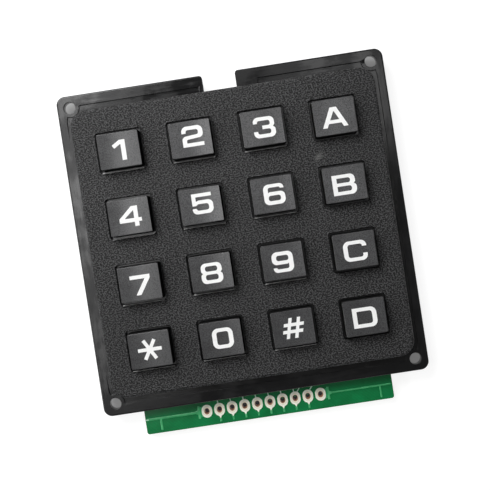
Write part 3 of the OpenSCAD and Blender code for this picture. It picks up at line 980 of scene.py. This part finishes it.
stageLook = {
    "size": 1.2,
    "colour": (0.36, 0.36, 0.36, 1.0),
    "glow": 0.85,
    "farGlow": 1.0,
    "glowFrom": 0.1,
    "glowTo": 0.4,
    "shade": 0.86,
    "tabShade": 0.97,
    "soft": 0.6 * mm,
    "notchHalf": 4.4 * mm,
    "notchFoot": 26.5 * mm,
}
lightLook = {
    "window": {"place": (-0.13, 0.20, 0.27), "size": (0.22, 0.22), "power": 1.27, "aimed": True},
    "side": {"place": (-0.57, -0.03, 0.40), "size": (0.30, 0.12), "power": 1.0, "aimed": True},
    "strip": {"place": (-0.4225, 0.13, 3.0), "size": (0.305, 0.32), "power": 1.59, "aimed": False},
    "stripTop": {"place": (-0.455, 0.41, 3.0), "size": (0.24, 0.24), "power": 0.94, "aimed": False},
    "stripFoot": {"place": (-0.455, -0.21, 3.0), "size": (0.24, 0.37), "power": 0.66, "aimed": False},
    "fill": {"place": (0.236, 0.36, 3.0), "size": (0.30, 0.40), "power": 0.76, "aimed": False},
    "below": {"place": (0.12, -0.18, -0.50), "size": (0.40, 0.40), "power": 1.6, "aimed": True},
}
worldLight = 0.15
cameraLook = {
    "place": (0.00514, 0.00144, 0.24437),
    "turn": (-1.0704, 1.0335, -8.7358),
    "lens": 90.4,
    "sensor": 36.0,
    "clip": (0.01, 10.0),
}


def coverOf(tree, place, left, bottom, right, top):
    split = addNode(tree, "ShaderNodeSeparateXYZ", {0: place}).outputs
    past = [maths(tree, "SUBTRACT", left, split[0]), maths(tree, "SUBTRACT", split[0], right),
            maths(tree, "SUBTRACT", bottom, split[1]), maths(tree, "SUBTRACT", split[1], top)]
    outside = maths(tree, "MAXIMUM", maths(tree, "MAXIMUM", past[0], past[1]),
                    maths(tree, "MAXIMUM", past[2], past[3]))
    return spread(tree, outside, 0.0, -stageLook["soft"])


def makeFloor():
    bpy.ops.object.select_all(action="DESELECT")
    bpy.ops.mesh.primitive_plane_add(size=stageLook["size"], location=(0, 0, cadBox[0].z))
    floor = bpy.context.object
    floor.name = "floor"
    material = bpy.data.materials.new("paleFloor")
    material.use_nodes = True
    tree = material.node_tree
    tree.nodes.remove(tree.nodes["Principled BSDF"])
    path = addNode(tree, "ShaderNodeLightPath").outputs
    seen = maths(tree, "MAXIMUM", path["Is Camera Ray"],
                 maths(tree, "MAXIMUM", path["Is Glossy Ray"], path["Is Transmission Ray"]))
    # painted shadow: the floor under the part glows less, and under the board's tab its colour is painted
    # black, so the holes look grey
    place = addNode(tree, "ShaderNodeTexCoord").outputs["Object"]
    notch = coverOf(tree, place, -stageLook["notchHalf"], stageLook["notchFoot"], stageLook["notchHalf"], 1.0)
    under = maths(tree, "SUBTRACT",
                  coverOf(tree, place, housingLow.x, housingLow.y, housingHigh.x, housingHigh.y), notch, True)
    tab = coverOf(tree, place, tabEdges[0], boardLow.y, tabEdges[1], 0.0)
    lit = addNode(tree, "ShaderNodeBsdfDiffuse",
                  {"Color": blendColours(tree, tab, stageLook["colour"], (0, 0, 0, 1))}).outputs[0]
    shaded = maths(tree, "MAXIMUM", maths(tree, "MULTIPLY", under, stageLook["shade"]),
                   maths(tree, "MULTIPLY", tab, stageLook["tabShade"]))
    openFloor = maths(tree, "SUBTRACT", 1.0, shaded)
    away = addNode(tree, "ShaderNodeVectorMath", {0: place}, operation="LENGTH").outputs["Value"]
    white = spread(tree, away, stageLook["glowFrom"], stageLook["glowTo"],
                   stageLook["glow"], stageLook["farGlow"])
    power = maths(tree, "MULTIPLY", maths(tree, "MULTIPLY", seen, openFloor), white)
    glow = addNode(tree, "ShaderNodeEmission", {"Strength": power}).outputs[0]
    whole = addNode(tree, "ShaderNodeAddShader", {0: lit, 1: glow}).outputs[0]
    clear = addNode(tree, "ShaderNodeBsdfTransparent").outputs[0]
    below = addNode(tree, "ShaderNodeNewGeometry").outputs["Backfacing"]
    shown = addNode(tree, "ShaderNodeMixShader", {0: below, 1: whole, 2: clear}).outputs[0]
    tree.links.new(shown, tree.nodes["Material Output"].inputs["Surface"])
    floor.data.materials.append(material)
    floor.visible_shadow = False  # the lamp below shines through it


def makeLights():
    for name, look in lightLook.items():
        data = bpy.data.lights.new(name, "AREA")
        data.shape = "RECTANGLE"
        data.size, data.size_y = look["size"]
        data.energy = look["power"]
        lamp = bpy.data.objects.new(name, data)
        bpy.context.scene.collection.objects.link(lamp)
        lamp.location = look["place"]
        if look["aimed"]:  # the others face straight down
            lamp.rotation_euler = (-Vector(look["place"])).to_track_quat("-Z", "Y").to_euler()
    world = bpy.data.worlds.new("studio")
    bpy.context.scene.world = world
    world.use_nodes = True
    tree = world.node_tree
    path = addNode(tree, "ShaderNodeLightPath").outputs["Is Camera Ray"]
    background = tree.nodes["Background"]
    background.inputs["Color"].default_value = (1, 1, 1, 1)
    tree.links.new(spread(tree, path, 0.0, 1.0, worldLight, 1.0), background.inputs["Strength"])


def makeCamera():
    data = bpy.data.cameras.new("photoCamera")
    data.lens = cameraLook["lens"]
    data.sensor_width = cameraLook["sensor"]
    data.clip_start, data.clip_end = cameraLook["clip"]
    camera = bpy.data.objects.new("photoCamera", data)
    bpy.context.scene.collection.objects.link(camera)
    camera.location = cameraLook["place"]
    camera.rotation_euler = [math.radians(angle) for angle in cameraLook["turn"]]
    bpy.context.scene.camera = camera


makeFloor()
makeLights()
makeCamera()
bpy.context.scene.view_settings.view_transform = "Standard"
print("stage, light and camera ready")
